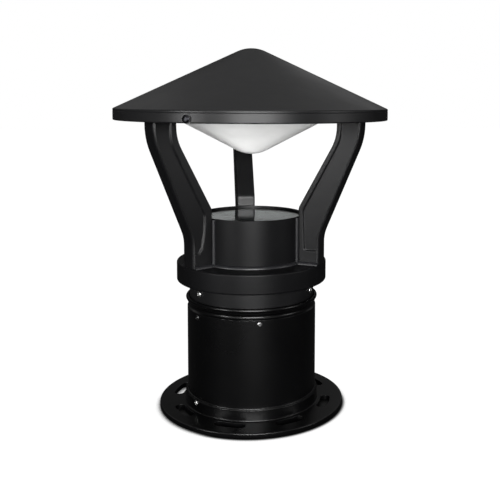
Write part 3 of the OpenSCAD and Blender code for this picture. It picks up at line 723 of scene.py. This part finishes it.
def make_roof():
    """The conical sheet with its upright rim, the seam line in it and a rolled edge."""
    thick = 1.8
    lean = math.atan(ROOF_SLOPE)
    point = RIM_TOP + ROOF_R * ROOF_SLOPE
    middle = point - NOSE_R / math.cos(lean)
    under = point - thick / math.cos(lean) - (ROOF_R - thick) * ROOF_SLOPE
    profile = [
        *nose(NOSE_R, middle, lean, 1),
        *((r, point - r * ROOF_SLOPE) for r in (60, 95)),
        *corner((0, point), (ROOF_R, RIM_TOP), (ROOF_R, RIM_LOW), 1.2, 5),
        (ROOF_R, RIM_TOP - 1.7), (ROOF_R - 0.35, RIM_TOP - 2.0), (ROOF_R, RIM_TOP - 2.3),
        (ROOF_R, RIM_LOW + 1.0), *arc((ROOF_R - 0.9, RIM_LOW + 0.9), 0.9, 0, -180, 8),
        (ROOF_R - thick, under), *nose(NOSE_R - thick, middle, lean, 1)[::-1],
    ]
    roof = turned("roof_sheet", profile, smooth=30)
    cut_rim_slots(roof)
    return tidy_mesh(roof, 30)


def make_cone():
    """The white cone under the roof, point down, with a narrow brim."""
    slope, point, thick = 0.523, 231.07, 1.0
    lean = math.atan(slope)
    middle = point + NOSE_R / math.cos(lean)
    profile = [
        *nose(NOSE_R, middle, lean, -1), (50, point + 50 * slope), (84, 275), (91.2, 275),
        (91.2, 276), (83.75, 276), *nose(NOSE_R - thick, middle, lean, -1)[::-1],
    ]
    return turned("light_cone", profile, smooth=30)


fit_piece(make_roof(), "roof", black_coat, "satin_black_paint", "roof")
fit_piece(make_cone(), "head", white_coat, "white_paint", "reflector_cone")


# ---------------------------------------------------------------- screws that show

def make_screw(head_r, head_h, socket_r, shank_r, length):
    """Button head screw along +X: head from 0 to head_h, shank to -length."""
    dome = [(head_r * math.cos(math.radians(a)),
             head_h * (0.35 + 0.65 * math.sin(math.radians(a)))) for a in (0, 18, 36, 54, 72)]
    profile = [(0, -length), (shank_r - 0.3, -length), (shank_r, -length + 0.4), (shank_r, 0),
               (head_r - 0.15, 0), (head_r, 0.15), *dome, (0, head_h)]
    screw = turned("screw", profile, steps=40, smooth=30)
    cut(screw, rod(6, socket_r, 2 * head_h, (0, 0, head_h * 1.45)))
    bevelled(screw, 0.08, angle=40, smooth=30)
    screw.rotation_euler = (0, math.pi / 2, 0)
    return settle(screw)


def screws_round(name, model, seat, height, angles):
    """Copies of a screw with their heads on a seat radius, joined as one piece."""
    model.location = (seat * MM, 0, height * MM)
    settle(model)
    screws = [turned_copy(model, "copy", a) for a in angles]
    discard(model)
    return joined(screws, name)


tube_screw = make_screw(head_r=2.4, head_h=1.2, socket_r=1.0, shank_r=1.5, length=4.0)
earth_screw = make_screw(head_r=2.3, head_h=1.2, socket_r=1.0, shank_r=1.5, length=9.7)
sleeve_screw = make_screw(head_r=3.0, head_h=1.6, socket_r=1.4, shank_r=2.0, length=8.0)
rim_screw = make_screw(head_r=3.2, head_h=1.6, socket_r=1.6, shank_r=2.0, length=12.2)
fit_piece(screws_round("tube_screw_set", tube_screw, TUBE_R + 0.1, TUBE_SCREW_Z,
                       TUBE_SCREW_ANGLES),
          "base", darkened_steel, "bright_steel", "tube_screws")
fit_piece(screws_round("sleeve_screw_set", sleeve_screw, SLEEVE_R + 0.05, SLEEVE_SCREW_Z,
                       ARM_ANGLES),
          "head", bright_steel, "bright_steel", "sleeve_screws")
fit_piece(screws_round("earth_screw_set", earth_screw, HUB_R + 0.05, EARTH_Z, (210,)),
          "base", bright_steel, "bright_steel", "earth_screw")
fit_piece(screws_round("roof_screw_set", rim_screw, ROOF_R + 1.0, RIM_SCREW_Z,
                       SLOTTED_ANGLES),
          "head", dark_steel, "dark_steel", "roof_screws")


# ---------------------------------------------------------------- studio

# How much of the white background a reflection shows
GLOSSY_SHARE = 0.010

# Painted shadow on the floor under the flange, as discs: middle, end of the dark and
# start of the white, in millimetres
FLOOR_PAINTED_SHADOWS = (((8, -16), 77, 82), ((0, 0), 86, 89))
# The floor's colour in its painted shadow, its own pale colour, and its colour in reflections
FLOOR_SHADOW_PAINT, FLOOR_PALE, FLOOR_MIRRORED = (0.01,) * 3, (0.4,) * 3, (0.012,) * 3
FLOOR_GLOW = 0.9

# The grey studio's strength low down and high up, and the heights between which it turns
SKY_LOW, SKY_HIGH, SKY_START, SKY_STOP = 0.015, 0.30, 0.35, 0.95

# The camera: metres, degrees, and the focal length in pixels of the picture
CAMERA_DISTANCE, CAMERA_HEIGHT = 0.7058, 0.2873
CAMERA_YAW, CAMERA_PITCH, CAMERA_ROLL, CAMERA_AZIMUTH = 3.65, 5.08, 0.29, -6.4
CAMERA_FOCAL, PICTURE_SIZE, SENSOR = 760.9, 500, 36
CAMERA_SHIFT = (-0.10, -0.17)


def background_share(net):
    """How much of the white background a ray sees: all of it straight on and through
    glass, less in a reflection, so that the black coats stay black."""
    path = net.add("ShaderNodeLightPath").outputs
    mirrored = net.calc("MULTIPLY", path["Is Glossy Ray"], GLOSSY_SHARE)
    seen = net.calc("MAXIMUM", path["Is Camera Ray"], mirrored)
    return net.calc("MAXIMUM", seen, path["Is Transmission Ray"])


def make_floor():
    """White where the camera sees it, with a painted shadow under the flange where it rests, a
    painted contact shadow along its edge and a nearly black colour in reflections.
    """
    bpy.ops.object.select_all(action="DESELECT")
    bpy.ops.mesh.primitive_plane_add(size=12, location=(0, 0, -0.0003))
    floor = bpy.context.object
    floor.name = "studio_floor"
    f = Finish("studio_floor_white")
    f.set(Roughness=0.9, Specular_IOR_Level=0.0)
    # Ambient occlusion dims the floor's glow next to the flange: a painted contact shadow
    near = f.add("ShaderNodeAmbientOcclusion", samples=8)
    near.inputs["Distance"].default_value = 9 * MM
    painted_contact_shadow = f.spread(near.outputs["AO"], 0.1, 1.15, start=0.5, stop=0.9)
    # Painted shadow discs: dark inside, white outside
    painted_shadows = []
    for (x, y), dark, white in FLOOR_PAINTED_SHADOWS:
        away = f.add("ShaderNodeVectorMath", operation="DISTANCE")
        f.link(f.place, away.inputs[0])
        away.inputs[1].default_value = (x * MM, y * MM, 0)
        painted_shadows.append(f.spread(away.outputs["Value"], 0.02, 1.0, dark * MM, white * MM))
    outside_painted_shadow = f.calc("MAXIMUM", *painted_shadows)
    # Reflections see the floor nearly black: painted shade in what the coats reflect
    mirrored = f.add("ShaderNodeLightPath").outputs["Is Glossy Ray"]
    f.wear(f.mix(mirrored, f.mix(outside_painted_shadow, FLOOR_SHADOW_PAINT, FLOOR_PALE), FLOOR_MIRRORED))
    glow = f.add("ShaderNodeEmission")
    f.link(f.calc("MULTIPLY", painted_contact_shadow, outside_painted_shadow), glow.inputs["Strength"])
    share = f.calc("MULTIPLY", background_share(f), FLOOR_GLOW)
    surface = f.blend(share, f.shader.outputs["BSDF"], glow.outputs["Emission"])
    f.link(surface, f.tree.nodes["Material Output"].inputs["Surface"])
    floor.data.materials.append(f.mat)


def make_world():
    """White for the camera; a soft grey studio, darker low down, for everything else."""
    world = bpy.data.worlds.new("studio_world")
    bpy.context.scene.world = world
    world.use_nodes = True
    net = NodeNet(world.node_tree)
    split = net.add("ShaderNodeSeparateXYZ")
    net.link(net.add("ShaderNodeTexCoord").outputs["Generated"], split.inputs["Vector"])
    level = net.spread(split.outputs["Z"], SKY_LOW, SKY_HIGH, SKY_START, SKY_STOP,
                       interpolation_type="SMOOTHSTEP")
    soft, white = net.tree.nodes["Background"], net.add("ShaderNodeBackground")
    for background in (soft, white):
        background.inputs["Color"].default_value = (1, 1, 1, 1)
    net.link(level, soft.inputs["Strength"])
    white.inputs["Strength"].default_value = 1.0
    surface = net.blend(background_share(net), soft.outputs["Background"],
                        white.outputs["Background"])
    net.link(surface, net.tree.nodes["World Output"].inputs["Surface"])


def lamp(name, azimuth, elevation, width, height, power, distance=1.5, aim=0.17):
    """A softbox turned to a height on the axis; azimuth 0 is in front, towards -Y, and
    positive to the right."""
    data = bpy.data.lights.new(name, "AREA")
    data.shape = "RECTANGLE"
    data.size = width
    data.size_y = height
    data.energy = power
    box = bpy.data.objects.new(name, data)
    bpy.context.collection.objects.link(box)
    a, e = math.radians(azimuth), math.radians(elevation)
    away = Vector((math.sin(a) * math.cos(e), -math.cos(a) * math.cos(e), math.sin(e)))
    box.location = Vector((0, 0, aim)) + away * distance
    box.rotation_euler = away.to_track_quat("Z", "Y").to_euler()
    box.visible_camera = False
    box.visible_transmission = False


def make_camera():
    """The photograph's camera, off to one side by its azimuth, with its frame shifted."""
    yaw, pitch, roll = map(math.radians, (CAMERA_YAW, CAMERA_PITCH, CAMERA_ROLL))
    turn = Matrix.Rotation(math.radians(CAMERA_AZIMUTH), 3, "Z")
    ahead = Vector((math.sin(yaw) * math.cos(pitch), math.cos(yaw) * math.cos(pitch),
                    -math.sin(pitch)))
    right = Vector((math.cos(yaw), -math.sin(yaw), 0))
    up = right.cross(ahead)
    tilted = turn @ (math.cos(roll) * right + math.sin(roll) * up)
    top = turn @ (-math.sin(roll) * right + math.cos(roll) * up)
    back = -(turn @ ahead)
    place = turn @ Vector((0, -CAMERA_DISTANCE, CAMERA_HEIGHT))
    data = bpy.data.cameras.new("camera")
    data.sensor_width = SENSOR
    data.lens = CAMERA_FOCAL / PICTURE_SIZE * SENSOR
    data.shift_x, data.shift_y = CAMERA_SHIFT
    camera = bpy.data.objects.new("camera", data)
    bpy.context.collection.objects.link(camera)
    camera.matrix_world = Matrix([*zip(tilted, top, back, place), (0, 0, 0, 1)])
    bpy.context.scene.camera = camera


make_floor()
make_world()
lamp("front_box", azimuth=-5, elevation=0, width=0.9, height=0.44, power=36, aim=0.40)
lamp("high_strip", azimuth=-5, elevation=42, width=1.2, height=0.12, power=6.5)
lamp("left_box", azimuth=-54, elevation=3, width=0.40, height=0.4, power=11.5, aim=0.30)
lamp("right_box", azimuth=62, elevation=6, width=0.5, height=0.4, power=4.4, aim=0.30)
lamp("top_box", azimuth=5, elevation=78, width=0.9, height=0.9, power=6, distance=1.4)
lamp("back_box", azimuth=178, elevation=50, width=2.2, height=0.45, power=0.7)
lamp("back_left_box", azimuth=-150, elevation=32, width=0.7, height=0.5, power=0.55)
lamp("back_right_box", azimuth=148, elevation=30, width=0.7, height=0.5, power=0.5)
lamp("back_card", azimuth=173, elevation=9.5, width=0.9, height=0.16, power=0.062, aim=0.166)
make_camera()
bpy.context.scene.view_settings.view_transform = "Standard"
